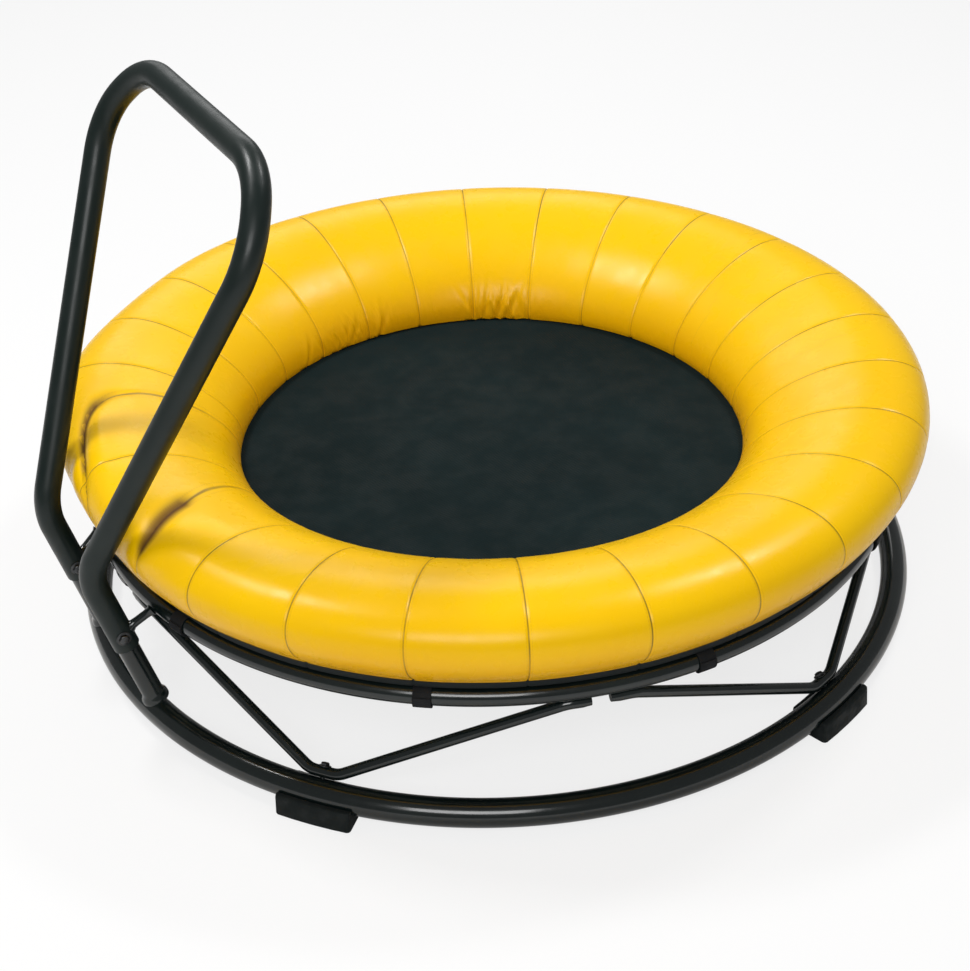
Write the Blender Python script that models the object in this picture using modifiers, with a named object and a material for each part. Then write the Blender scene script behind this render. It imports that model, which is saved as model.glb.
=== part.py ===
"""Garden trampoline for small children.

A base ring on rubber feet carries a smaller frame ring on five bent V struts. A round mat
hangs in the frame ring on springs. A thick padded ring with a sewn cover lies over the
springs and is strapped to the frame ring. A bent grab handle stands on two posts welded
to the base ring, and two short braces tie it to the frame ring.

Metres, +Z up. The floor is z = 0 and the origin is under the middle of the whole object.
The handle is on the -X side. Angles round the rings are counted from +X towards +Y.
"""

import math

import bmesh
import bpy
from mathutils import Matrix, Vector

# Clearances
GAP = 0.0003
PRESS_MARGIN = 0.007
WELD = 0.00001
BEND_SHARE = 0.99

# Base ring and its rubber feet
BASE_RADIUS = 0.500
BASE_TUBE = 0.016
RING_SEGMENTS = 80
TUBE_SIDES = 12
FOOT_COUNT = 5
FIRST_FOOT_DEG = 2.7
FOOT_UNDER = 0.010
FOOT_LENGTH = 0.085
FOOT_WALL = 0.0095
FOOT_EDGE = 0.003

# Frame ring
FRAME_INSET = 0.020
FRAME_TUBE = 0.011
FRAME_RISE = 0.144

# V struts
STRUT_ROD = 0.0065
STRUT_HALF_DEG = 30.0
STRUT_TAIL = 0.026
STRUT_FOOT = 0.034
STRUT_BEND = 0.028
STRUT_SEAT_DEG = 55.0
STRUT_BOLT_SHANK = 0.0025
STRUT_BOLT_HEAD = 0.005
STRUT_BOLT_HEAD_HEIGHT = 0.0035
STRUT_BOLT_GRIP = 0.008
STRUT_BOLT_ROOM = 0.002

# Mat and its edge band
MAT_INSET = 0.095
MAT_THICKNESS = 0.002
MAT_RISE = 0.0067
BAND_WIDTH = 0.020
BAND_THICKNESS = 0.002

# Springs
SPRING_COUNT = 20
FIRST_SPRING_DEG = 9.0
SPRING_COIL = 0.006
SPRING_HOOK_LENGTH = 0.017
SPRING_HOOK = 0.0016
SPRING_SIDES = 8

# Padded ring
PAD_CENTRE_INSET = 0.065
PAD_CENTRE_RISE = 0.051
PAD_HALF_WIDTH = 0.115
PAD_HALF_HEIGHT = 0.060
PAD_TILT_DEG = 23.5
PAD_SECTION_DEG = (174, 150, 126, 102, 78, 52, 26, 0, -32, -64)
PAD_INNER_FLAP = 0.030
PAD_OUTER_FLAP = 0.020
PANEL_COUNT = 26
PANEL_STEPS = 2
FIRST_SEAM_DEG = 10.1
SEAM_DEPTH = 0.0025
PRESS_SIDE_DEG = 3.4
PRESS_Z = 0.2213
COVER_THICKNESS = 0.0015
FOAM_SLACK = 0.0008

# Straps of the cover
STRAP_COUNT = 10
FIRST_STRAP_DEG = 16.6
STRAP_WIDTH = 0.020
STRAP_THICKNESS = 0.001
STRAP_SLACK = 0.0009
STRAP_SIDES = 12

# Grab handle: half widths across, distances out from the ring's middle, heights over the base ring
HANDLE_TUBE = 0.015
HANDLE_DEG = 180.0
HANDLE_FOOT_HALF = 0.0855
HANDLE_FOOT_RISE = 0.0115
HANDLE_KNEE_HALF = 0.074
HANDLE_KNEE_OUT = 0.0405
HANDLE_KNEE_RISE = 0.1985
HANDLE_SHOULDER_HALF = 0.2115
HANDLE_SHOULDER_IN = 0.177
HANDLE_SHOULDER_RISE = 0.395
HANDLE_CROWN_HALF = 0.1535
HANDLE_CROWN_IN = 0.0385
HANDLE_CROWN_RISE = 0.0645
HANDLE_KNEE_BEND = 0.070
HANDLE_SHOULDER_BEND = 0.085
HANDLE_CROWN_BEND = 0.088
HANDLE_END_UP = 0.087
HANDLE_SOCKET = 0.055
SOCKET_MOUTH = 0.010
TUBE_RESOLUTION = 4

# Posts, cross bolts and braces of the handle
POST_TUBE = 0.0125
POST_IN = 0.003
POST_BOLT_UP = 0.020
POST_BOLT_SHANK = 0.003
POST_BOLT_HEAD = 0.006
POST_BOLT_HEAD_HEIGHT = 0.004
BRACE_ROD = 0.005
BRACE_FRAME_DEG = 11.0
BRACE_UP = 0.105

BLACK_PAINT = (0.010, 0.014, 0.014, 1.0)
RUBBER = (0.012, 0.012, 0.012, 1.0)
MAT_FABRIC = (0.016, 0.027, 0.027, 1.0)
YELLOW_VINYL = (0.95, 0.62, 0.004, 1.0)
FOAM = (0.80, 0.76, 0.62, 1.0)
STEEL = (0.55, 0.56, 0.57, 1.0)

# Radii and heights that follow from the sizes above
FRAME_RADIUS = BASE_RADIUS - FRAME_INSET
MAT_RADIUS = FRAME_RADIUS - MAT_INSET
BASE_Z = FOOT_UNDER + GAP + BASE_TUBE
FRAME_Z = BASE_Z + FRAME_RISE
MAT_Z = FRAME_Z + MAT_RISE
MAT_TOP = MAT_Z + MAT_THICKNESS / 2
BAND_TOP = MAT_Z - MAT_THICKNESS / 2 - GAP
STRAP_INNER = FRAME_TUBE + STRAP_SLACK
PAD_REST_Z = FRAME_Z + STRAP_INNER + STRAP_THICKNESS + GAP
PAD_LIP_Z = MAT_TOP + GAP
PAD_CENTRE_RADIUS = FRAME_RADIUS - PAD_CENTRE_INSET
PAD_CENTRE_Z = FRAME_Z + PAD_CENTRE_RISE
PAD_REACH_IN = PAD_HALF_WIDTH * math.cos(math.radians(PAD_TILT_DEG))
PAD_LIP_RADIUS = PAD_CENTRE_RADIUS - PAD_REACH_IN + PAD_INNER_FLAP


def clear_scene():
    """Remove the startup objects and make the two collections."""
    for old in list(bpy.data.objects):
        bpy.data.objects.remove(old, do_unlink=True)
    made = []
    for title in ("garden_trampoline", "cutters"):
        collection = bpy.data.collections.new(title)
        bpy.context.scene.collection.children.link(collection)
        made.append(collection)
    made[1].hide_render = True
    return made


PARTS, CUTTERS = clear_scene()


def make_material(title, colour, roughness, metallic=0.0):
    """A plain Principled material."""
    made = bpy.data.materials.new(title)
    made.use_nodes = True
    shader = made.node_tree.nodes["Principled BSDF"]
    shader.inputs["Base Color"].default_value = colour
    shader.inputs["Roughness"].default_value = roughness
    shader.inputs["Metallic"].default_value = metallic
    made.diffuse_color = colour
    return made


MATERIALS = {
    "frame_paint": make_material("frame_paint", BLACK_PAINT, 0.35),
    "handle_paint": make_material("handle_paint", BLACK_PAINT, 0.30),
    "rubber": make_material("rubber", RUBBER, 0.75),
    "mat_fabric": make_material("mat_fabric", MAT_FABRIC, 0.80),
    "band_webbing": make_material("band_webbing", RUBBER, 0.85),
    "vinyl": make_material("vinyl", YELLOW_VINYL, 0.35),
    "foam": make_material("foam", FOAM, 0.90),
    "strap_webbing": make_material("strap_webbing", RUBBER, 0.80),
    "zinc": make_material("zinc", STEEL, 0.35, 1.0),
    "bolt_steel": make_material("bolt_steel", STEEL, 0.30, 1.0),
}


def add_object(name, data, material=None):
    """Link an object with its material. Without a material it is a cutter."""
    made = bpy.data.objects.new(name, data)
    if material:
        data.materials.clear()
        data.materials.append(MATERIALS[material])
        PARTS.objects.link(made)
    else:
        CUTTERS.objects.link(made)
        made.hide_render = True
        made.display_type = "WIRE"
    return made


def smooth(mesh, degrees=35):
    """Shade round faces smooth and keep real edges sharp."""
    mesh.shade_smooth()
    mesh.set_sharp_from_angle(angle=math.radians(degrees))


def round_ring(name, radius, tube, height, material=None):
    """A closed round tube lying level, with a flat of its path centred on each foot and strap."""
    made = bmesh.new()
    step = 2 * math.pi / RING_SEGMENTS
    profile = bmesh.ops.create_circle(made, segments=TUBE_SIDES, radius=tube)["verts"]
    lift = Matrix.Translation((radius, 0, height)) @ Matrix.Rotation(math.pi / 2, 4, "X")
    bmesh.ops.transform(made, matrix=lift, verts=profile)
    bmesh.ops.spin(
        made,
        geom=made.verts[:] + made.edges[:],
        angle=2 * math.pi,
        steps=RING_SEGMENTS,
        axis=(0, 0, 1),
        cent=(0, 0, 0),
    )
    bmesh.ops.remove_doubles(made, verts=made.verts, dist=WELD)
    turn = Matrix.Rotation(math.radians(FIRST_FOOT_DEG) + step / 2, 4, "Z")
    bmesh.ops.transform(made, matrix=turn, verts=made.verts)
    bmesh.ops.recalc_face_normals(made, faces=made.faces)
    mesh = bpy.data.meshes.new(name)
    made.to_mesh(mesh)
    made.free()
    smooth(mesh)
    ring = add_object(name, mesh, material)
    ring.location = (CENTRE_X, 0, 0)
    return ring


def bend_runs(corners, halves, radii):
    """How far each bend reaches along its straights, less where two bends would meet on one."""
    runs = [0.0] + [radius / math.tan(half) for half, radius in zip(halves, radii)] + [0.0]
    for index, (corner, following) in enumerate(zip(corners, corners[1:])):
        needed = runs[index] + runs[index + 1]
        room = BEND_SHARE * (following - corner).length
        if needed > room:
            runs[index] *= room / needed
            runs[index + 1] *= room / needed
    return runs[1:-1]


def bent_path(corners, radii, turns=6):
    """The points of a path through corners, with an arc of the given radius at each inner one."""
    corners = [Vector(corner) for corner in corners]
    backs = [(before - corner).normalized() for before, corner in zip(corners, corners[1:-1])]
    aheads = [(after - corner).normalized() for corner, after in zip(corners[1:], corners[2:])]
    halves = [back.angle(ahead) / 2 for back, ahead in zip(backs, aheads)]
    runs = bend_runs(corners, halves, radii)
    points = [corners[0]]
    for corner, back, ahead, half, run in zip(corners[1:], backs, aheads, halves, runs):
        middle = corner + (back + ahead).normalized() * (run / math.cos(half))
        start = corner + back * run - middle
        end = corner + ahead * run - middle
        for step in range(turns + 1):
            points.append(middle + start.slerp(end, step / turns) * start.length)
    points.append(corners[-1])
    return points


def rod(name, points, radius, material=None, resolution=2):
    """A solid round rod along points, as a mesh with welded caps."""
    curve = bpy.data.curves.new(name, "CURVE")
    curve.dimensions = "3D"
    curve.bevel_depth = radius
    curve.bevel_resolution = resolution
    curve.use_fill_caps = True
    spline = curve.splines.new("POLY")
    spline.points.add(len(points) - 1)
    for spot, place in zip(spline.points, points):
        spot.co = (*place, 1)
    drawn = bpy.data.objects.new(name + "_path", curve)
    bpy.context.scene.collection.objects.link(drawn)
    graph = bpy.context.evaluated_depsgraph_get()
    mesh = bpy.data.meshes.new_from_object(drawn.evaluated_get(graph))
    bpy.data.objects.remove(drawn)
    made = bmesh.new()
    made.from_mesh(mesh)
    bmesh.ops.remove_doubles(made, verts=made.verts, dist=WELD)
    bmesh.ops.recalc_face_normals(made, faces=made.faces)
    made.to_mesh(mesh)
    made.free()
    mesh.name = name
    smooth(mesh)
    return add_object(name, mesh, material)


def turned(name, profile, material=None, sides=16):
    """A solid turned about its own Z from (radius, z) points that run from its top to its foot."""
    mesh = bpy.data.meshes.new(name)
    made = bmesh.new()
    spots = [made.verts.new((radius, 0, height)) for radius, height in profile]
    for above, below in zip(spots, spots[1:]):
        made.edges.new((above, below))
    made.to_mesh(mesh)
    made.free()
    piece = add_object(name, mesh, material)
    turning = piece.modifiers.new("turn", "SCREW")
    turning.steps = sides
    turning.render_steps = sides
    turning.use_merge_vertices = True
    turning.merge_threshold = 0.00001
    turning.use_smooth_shade = False
    return piece


def closed_turned(name, profile, material, sides):
    """A ring turned about its own Z from a closed (radius, z) outline."""
    made = bmesh.new()
    spots = [made.verts.new((radius, 0, height)) for radius, height in profile]
    for spot, following in zip(spots, spots[1:] + spots[:1]):
        made.edges.new((spot, following))
    bmesh.ops.spin(
        made,
        geom=made.verts[:] + made.edges[:],
        angle=2 * math.pi,
        steps=sides,
        axis=(0, 0, 1),
        cent=(0, 0, 0),
    )
    bmesh.ops.remove_doubles(made, verts=made.verts, dist=WELD)
    bmesh.ops.recalc_face_normals(made, faces=made.faces)
    mesh = bpy.data.meshes.new(name)
    made.to_mesh(mesh)
    made.free()
    smooth(mesh)
    return add_object(name, mesh, material)


def cut(piece, cutter):
    """Take the cutter's space out of the piece."""
    removal = piece.modifiers.new(cutter.name, "BOOLEAN")
    removal.operation = "DIFFERENCE"
    removal.solver = "EXACT"
    removal.object = cutter


def around(degrees, radius, height):
    """The point at this angle, radius and height round the trampoline's middle."""
    angle = math.radians(degrees)
    return Vector((CENTRE_X + radius * math.cos(angle), radius * math.sin(angle), height))


def aimed(start, direction):
    """The placement whose Z runs along direction from start."""
    turn = direction.to_track_quat("Z", "Y").to_matrix().to_4x4()
    return Matrix.Translation(start) @ turn


def handle_corners():
    """The handle's corner points from the right foot over the crown to the left foot, about the middle."""
    foot_out = math.sqrt(BASE_RADIUS**2 - HANDLE_FOOT_HALF**2) - POST_IN
    knee_out = BASE_RADIUS + HANDLE_KNEE_OUT
    shoulder_out = knee_out - HANDLE_SHOULDER_IN
    knee_z = BASE_Z + HANDLE_KNEE_RISE
    shoulder_z = knee_z + HANDLE_SHOULDER_RISE
    right = [
        (foot_out, HANDLE_FOOT_HALF, BASE_Z + HANDLE_FOOT_RISE),
        (knee_out, HANDLE_KNEE_HALF, knee_z),
        (shoulder_out, HANDLE_SHOULDER_HALF, shoulder_z),
        (shoulder_out - HANDLE_CROWN_IN, HANDLE_CROWN_HALF, shoulder_z + HANDLE_CROWN_RISE),
    ]
    left = [(out, -half, height) for out, half, height in reversed(right)]
    turn = Matrix.Rotation(math.radians(HANDLE_DEG), 4, "Z")
    return [turn @ Vector(corner) for corner in right + left]


HANDLE_RADII = (HANDLE_KNEE_BEND, HANDLE_SHOULDER_BEND, HANDLE_CROWN_BEND)
HANDLE_PATH = bent_path(handle_corners(), HANDLE_RADII + HANDLE_RADII[::-1])


def foot_reach(number):
    """How far along +X this foot's outer corner reaches from the rings' middle."""
    angle = math.radians(FIRST_FOOT_DEG + number * 360 / FOOT_COUNT)
    out = BASE_RADIUS + BASE_TUBE + GAP + FOOT_WALL
    return out * math.cos(angle) + (FOOT_LENGTH / 2 - FOOT_EDGE) * abs(math.sin(angle))


HANDLE_REACH = HANDLE_TUBE - min(point.x for point in HANDLE_PATH)
FRONT_REACH = max(foot_reach(number) for number in range(FOOT_COUNT))
# The middle of the rings stands off the middle of the whole object by half of what the handle adds
CENTRE_X = (HANDLE_REACH - FRONT_REACH) / 2


def on_handle(points):
    """Points about the rings' middle moved to the object's own place."""
    return [point + Vector((CENTRE_X, 0, 0)) for point in points]


def build_base():
    """The base ring with a threaded hole for each strut's bolt."""
    ring = round_ring("base_ring", BASE_RADIUS, BASE_TUBE, BASE_Z, "frame_paint")
    for number in range(FOOT_COUNT):
        start, direction = strut_seat(FIRST_FOOT_DEG + number * 360 / FOOT_COUNT)
        depth = STRUT_ROD + GAP + STRUT_BOLT_GRIP + STRUT_BOLT_ROOM
        hole = [(0, STRUT_ROD), (STRUT_BOLT_SHANK + GAP, STRUT_ROD)]
        hole += [(STRUT_BOLT_SHANK + GAP, -depth), (0, -depth)]
        cutter = turned(f"bolt_hole_{number + 1}", hole)
        cutter.matrix_world = aimed(start, direction)
        cut(ring, cutter)
    return ring


def build_feet():
    """Rubber blocks that the base ring lies in, each flat underneath."""
    cutter = round_ring("foot_saddle", BASE_RADIUS, BASE_TUBE + GAP, BASE_Z)
    depth = 2 * (BASE_TUBE + GAP + FOOT_WALL)
    for number in range(FOOT_COUNT):
        degrees = FIRST_FOOT_DEG + number * 360 / FOOT_COUNT
        made = bmesh.new()
        bmesh.ops.create_cube(made, size=1)
        bmesh.ops.scale(made, vec=(depth, FOOT_LENGTH, BASE_Z), verts=made.verts)
        mesh = bpy.data.meshes.new(f"foot_{number + 1}")
        made.to_mesh(mesh)
        made.free()
        foot = add_object(f"foot_{number + 1}", mesh, "rubber")
        foot.location = around(degrees, BASE_RADIUS, BASE_Z / 2)
        foot.rotation_euler = (0, 0, math.radians(degrees))
        rounding = foot.modifiers.new("rounding", "BEVEL")
        rounding.width = FOOT_EDGE
        rounding.segments = 2
        cut(foot, cutter)


def strut_seat(degrees):
    """Where a strut's rod lies on the base ring, and the way out from the ring's tube there."""
    lean = math.radians(STRUT_SEAT_DEG)
    centre = around(degrees, BASE_RADIUS, BASE_Z)
    direction = around(degrees, BASE_RADIUS - math.cos(lean), BASE_Z + math.sin(lean)) - centre
    return centre + direction * (BASE_TUBE + GAP + STRUT_ROD), direction


def strut_corners(degrees):
    """The corner points of one V strut, from under the frame ring down to the base and up again."""
    top_z = FRAME_Z - FRAME_TUBE - STRUT_ROD - GAP
    tail = math.degrees(STRUT_TAIL / FRAME_RADIUS)
    seat, _ = strut_seat(degrees)
    seat_radius = math.hypot(seat.x - CENTRE_X, seat.y)
    foot = math.degrees(STRUT_FOOT / 2 / seat_radius)
    lap = math.degrees(STRUT_BEND / 2 / FRAME_RADIUS)
    corners = []
    for side in (-1, 1):
        out = [
            around(degrees + side * (STRUT_HALF_DEG + lap + tail), FRAME_RADIUS, top_z),
            around(degrees + side * (STRUT_HALF_DEG + lap), FRAME_RADIUS, top_z),
            around(degrees + side * foot, seat_radius, seat.z),
        ]
        corners += out if side < 0 else out[::-1]
    return corners


def build_struts():
    """Bent V rods from the base ring up to the frame ring, each held by a bolt at its foot."""
    for number in range(FOOT_COUNT):
        degrees = FIRST_FOOT_DEG + number * 360 / FOOT_COUNT
        path = bent_path(strut_corners(degrees), [STRUT_BEND] * 4, 4)
        strut = rod(f"v_strut_{number + 1}", path, STRUT_ROD, "frame_paint")
        seat, direction = strut_seat(degrees)
        through = 2 * STRUT_ROD
        bore = STRUT_BOLT_SHANK + GAP
        outline = [(0, through), (bore, through), (bore, -through), (0, -through)]
        hole = turned(f"strut_hole_{number + 1}", outline)
        hole.matrix_world = aimed(seat, direction)
        cut(strut, hole)
        under_head = STRUT_ROD + GAP
        tip = -(STRUT_ROD + GAP + STRUT_BOLT_GRIP)
        profile = [
            (0, under_head + STRUT_BOLT_HEAD_HEIGHT),
            (STRUT_BOLT_HEAD, under_head + STRUT_BOLT_HEAD_HEIGHT),
            (STRUT_BOLT_HEAD, under_head),
            (STRUT_BOLT_SHANK, under_head),
            (STRUT_BOLT_SHANK, tip),
            (0, tip),
        ]
        bolt = turned(f"strut_bolt_{number + 1}", profile, "bolt_steel", 6)
        bolt.matrix_world = aimed(seat, direction)


def build_mat():
    """The round mat and the webbing band sewn under its edge."""
    made = bmesh.new()
    bmesh.ops.create_cone(
        made,
        cap_ends=True,
        segments=RING_SEGMENTS,
        radius1=MAT_RADIUS,
        radius2=MAT_RADIUS,
        depth=MAT_THICKNESS,
    )
    mesh = bpy.data.meshes.new("mat")
    made.to_mesh(mesh)
    made.free()
    mat = add_object("mat", mesh, "mat_fabric")
    mat.location = (CENTRE_X, 0, MAT_Z)
    outline = [
        (MAT_RADIUS, BAND_TOP),
        (MAT_RADIUS, BAND_TOP - BAND_THICKNESS),
        (MAT_RADIUS - BAND_WIDTH, BAND_TOP - BAND_THICKNESS),
        (MAT_RADIUS - BAND_WIDTH, BAND_TOP),
    ]
    band = closed_turned("mat_edge_band", outline, "band_webbing", RING_SEGMENTS)
    band.location = (CENTRE_X, 0, 0)


def build_springs():
    """Tension springs from the mat's edge to the frame ring, hooks and coil as one turned solid."""
    height = BAND_TOP - BAND_THICKNESS / 2
    inner_end = MAT_RADIUS + GAP
    drop = FRAME_Z - height
    outer_end = FRAME_RADIUS - math.sqrt(FRAME_TUBE**2 - drop**2) - 2 * GAP
    middle = (inner_end + outer_end) / 2
    reach = (outer_end - inner_end) / 2
    half = reach - SPRING_HOOK_LENGTH
    profile = [
        (0, reach),
        (SPRING_HOOK, reach),
        (SPRING_HOOK, half),
        (SPRING_COIL, half - SPRING_COIL / 2),
        (SPRING_COIL, SPRING_COIL / 2 - half),
        (SPRING_HOOK, -half),
        (SPRING_HOOK, -reach),
        (0, -reach),
    ]
    for number in range(SPRING_COUNT):
        degrees = FIRST_SPRING_DEG + number * 360 / SPRING_COUNT
        spring = turned(f"spring_{number + 1:02d}", profile, "zinc", SPRING_SIDES)
        place = around(degrees, middle, height)
        outward = place - Vector((CENTRE_X, 0, height))
        spring.matrix_world = aimed(place, outward)


def rest_height(radius):
    """The underside of the pad: on the mat under its inner lip, over the strapped frame ring outside."""
    share = (radius - PAD_LIP_RADIUS) / (FRAME_RADIUS - FRAME_TUBE - PAD_LIP_RADIUS)
    return PAD_LIP_Z + (PAD_REST_Z - PAD_LIP_Z) * min(1.0, max(0.0, share))


def pad_section(offset, puff):
    """(radius, z) points of the pad's section this far under its skin, from inner to outer flap."""
    tilt = math.radians(PAD_TILT_DEG)
    half_width = PAD_HALF_WIDTH - offset + puff
    half_height = PAD_HALF_HEIGHT - offset + puff
    round_part = []
    for degrees in PAD_SECTION_DEG:
        across = half_width * math.cos(math.radians(degrees))
        up = half_height * math.sin(math.radians(degrees))
        radius = PAD_CENTRE_RADIUS + across * math.cos(tilt) - up * math.sin(tilt)
        height = PAD_CENTRE_Z + across * math.sin(tilt) + up * math.cos(tilt)
        lowest = rest_height(radius) + offset + 0.5 * GAP
        round_part.append((radius, max(height, lowest)))
    inner = round_part[0][0] + PAD_INNER_FLAP
    outer = round_part[-1][0] - PAD_OUTER_FLAP
    start = [(inner, rest_height(inner) + offset)]
    end = [(outer, rest_height(outer) + offset)]
    return start + round_part + end


def pressed(point, middle, clear):
    """The point moved towards the section's middle until it is this clear of the handle's legs."""
    for leg_point, following in zip(HANDLE_PATH, HANDLE_PATH[1:]):
        run = following - leg_point
        share = min(1.0, max(0.0, (point - leg_point).dot(run) / run.length_squared))
        off = point - (leg_point + run * share)
        if off.length < clear:
            inward = (middle - point).normalized()
            along = off.dot(inward)
            point = point + inward * (math.sqrt(along**2 - off.length_squared + clear**2) - along)
    return point


def pad_columns():
    """(degrees, puff) of each section round the pad, with extra ones where the handle's legs press in."""
    columns = {}
    count = PANEL_COUNT * PANEL_STEPS
    for number in range(count):
        degrees = (FIRST_SEAM_DEG + number * 360 / count) % 360
        columns[degrees] = 0.0 if number % PANEL_STEPS else -SEAM_DEPTH
    for point, following in zip(HANDLE_PATH, HANDLE_PATH[1:]):
        if (point.z - PRESS_Z) * (following.z - PRESS_Z) < 0:
            share = (PRESS_Z - point.z) / (following.z - point.z)
            spot = point.lerp(following, share)
            leg = math.degrees(math.atan2(spot.y, spot.x)) % 360
            for side in (-1, 0, 1):
                degrees = leg + side * PRESS_SIDE_DEG
                near = min(columns, key=lambda held: abs(held - degrees))
                if abs(near - degrees) < PRESS_SIDE_DEG / 3:
                    del columns[near]
                columns[degrees] = 0.0
    return sorted(columns.items())


def pad_surface(offset):
    """The pad's skin at this depth: one list of points for each column."""
    surface = []
    for degrees, puff in pad_columns():
        angle = math.radians(degrees)
        out = Vector((math.cos(angle), math.sin(angle), 0))
        middle = out * PAD_CENTRE_RADIUS + Vector((0, 0, PAD_CENTRE_Z))
        clear = HANDLE_TUBE + PRESS_MARGIN + offset
        column = []
        for radius, height in pad_section(offset, puff):
            point = pressed(out * radius + Vector((0, 0, height)), middle, clear)
            column.append(point)
        surface.append(column)
    return surface


def loft_ring(name, columns, material, skins=1):
    """A closed ring lofted through sections that differ from one another.

    A second skin lists its points backwards, so its faces are split along the other diagonal:
    then both skins fold alike where the handle presses them.
    """
    made = bmesh.new()
    rows = [[made.verts.new(point) for point in column] for column in columns]
    for row, following in zip(rows, rows[1:] + rows[:1]):
        for index, vert in enumerate(row):
            above = (index + 1) % len(row)
            if index < len(row) // skins:
                made.faces.new((vert, following[index], following[above]))
                made.faces.new((vert, following[above], row[above]))
            else:
                made.faces.new((vert, following[index], row[above]))
                made.faces.new((following[index], following[above], row[above]))
    bmesh.ops.recalc_face_normals(made, faces=made.faces)
    mesh = bpy.data.meshes.new(name)
    made.to_mesh(mesh)
    made.free()
    smooth(mesh, 50)
    ring = add_object(name, mesh, material)
    ring.location = (CENTRE_X, 0, 0)
    return ring


def build_pad():
    """The foam ring and the sewn cover over it, open underneath between its two flaps."""
    loft_ring("foam_ring", pad_surface(COVER_THICKNESS + FOAM_SLACK), "foam")
    outer = pad_surface(0.0)
    inner = pad_surface(COVER_THICKNESS)
    columns = [skin + lining[::-1] for skin, lining in zip(outer, inner)]
    loft_ring("pad_cover", columns, "vinyl", 2)


def build_straps():
    """Short webbing loops round the frame ring that hold the cover down."""
    outline = [
        (STRAP_INNER + STRAP_THICKNESS, STRAP_WIDTH / 2),
        (STRAP_INNER + STRAP_THICKNESS, -STRAP_WIDTH / 2),
        (STRAP_INNER, -STRAP_WIDTH / 2),
        (STRAP_INNER, STRAP_WIDTH / 2),
    ]
    for number in range(STRAP_COUNT):
        degrees = FIRST_STRAP_DEG + number * 360 / STRAP_COUNT
        strap = closed_turned(f"pad_strap_{number + 1:02d}", outline, "strap_webbing", STRAP_SIDES)
        place = around(degrees, FRAME_RADIUS, FRAME_Z)
        tangent = around(degrees + 90, 1, 0) - around(degrees, 0, 0)
        strap.matrix_world = aimed(place, tangent)


def build_handle():
    """The bent handle, its two posts on the base ring, and their cross bolts and braces."""
    corners = on_handle(handle_corners())
    path = on_handle(HANDLE_PATH)
    sleeve = {}
    for side, end, knee in (("right", 0, 1), ("left", -1, -2)):
        run = (corners[knee] - corners[end]).normalized()
        sleeve[side] = (corners[end], run, corners[end] + run * HANDLE_END_UP)
    path[0] = sleeve["right"][2]
    path[-1] = sleeve["left"][2]
    handle = rod("grab_handle", path, HANDLE_TUBE, "handle_paint", TUBE_RESOLUTION)
    base_saddle = round_ring("post_saddle", BASE_RADIUS, BASE_TUBE + GAP, BASE_Z)
    frame_saddle = round_ring("brace_saddle", FRAME_RADIUS, FRAME_TUBE + GAP, FRAME_Z)
    leg_saddle = rod("leg_saddle", path, HANDLE_TUBE + GAP, None, TUBE_RESOLUTION)
    sockets = []
    for side, (foot, run, end) in sleeve.items():
        top = end + run * HANDLE_SOCKET
        mouth = end - run * SOCKET_MOUTH
        socket = rod(f"socket_{side}", [mouth, top], POST_TUBE + GAP, None, TUBE_RESOLUTION)
        sockets.append(socket)
        post_line = [foot, top - run * 2 * GAP]
        post = rod(f"handle_post_{side}", post_line, POST_TUBE, "frame_paint", TUBE_RESOLUTION)
        cut(post, base_saddle)
        centre = end + run * POST_BOLT_UP
        across = Vector((0, 1, 0))
        across = (across - run * across.dot(run)).normalized()
        reach = HANDLE_TUBE + GAP
        bore = POST_BOLT_SHANK + GAP
        wide = reach + POST_BOLT_HEAD_HEIGHT
        hole = turned(f"cross_hole_{side}", [(0, wide), (bore, wide), (bore, -wide), (0, -wide)])
        hole.matrix_world = aimed(centre, across)
        cut(handle, hole)
        cut(post, hole)
        profile = [
            (0, wide),
            (POST_BOLT_HEAD, wide),
            (POST_BOLT_HEAD, reach),
            (POST_BOLT_SHANK, reach),
            (POST_BOLT_SHANK, -reach),
            (POST_BOLT_HEAD, -reach),
            (POST_BOLT_HEAD, -wide),
            (0, -wide),
        ]
        bolt = turned(f"handle_bolt_{side}", profile, "bolt_steel", 6)
        bolt.matrix_world = aimed(centre, across)
        turn = BRACE_FRAME_DEG if side == "right" else -BRACE_FRAME_DEG
        root = around(HANDLE_DEG + turn, FRAME_RADIUS, FRAME_Z)
        brace = rod(f"handle_brace_{side}", [root, foot + run * BRACE_UP], BRACE_ROD, "frame_paint")
        cut(brace, frame_saddle)
        cut(brace, leg_saddle)
    for socket in sockets:
        cut(handle, socket)


def build():
    """The whole trampoline."""
    build_base()
    build_feet()
    round_ring("frame_ring", FRAME_RADIUS, FRAME_TUBE, FRAME_Z, "frame_paint")
    build_struts()
    build_mat()
    build_springs()
    build_pad()
    build_straps()
    build_handle()


build()
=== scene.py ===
"""Looks of a garden trampoline with a yellow padded ring and a dark grab handle.

Metres, +Z up, the same frame as the CAD. The rings' middle is at x = MIDDLE, the handle is on
the -X side, and angles round the rings are counted from +X towards +Y.
"""

import math

import bpy
import numpy as np
from mathutils import Matrix, Vector


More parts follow.
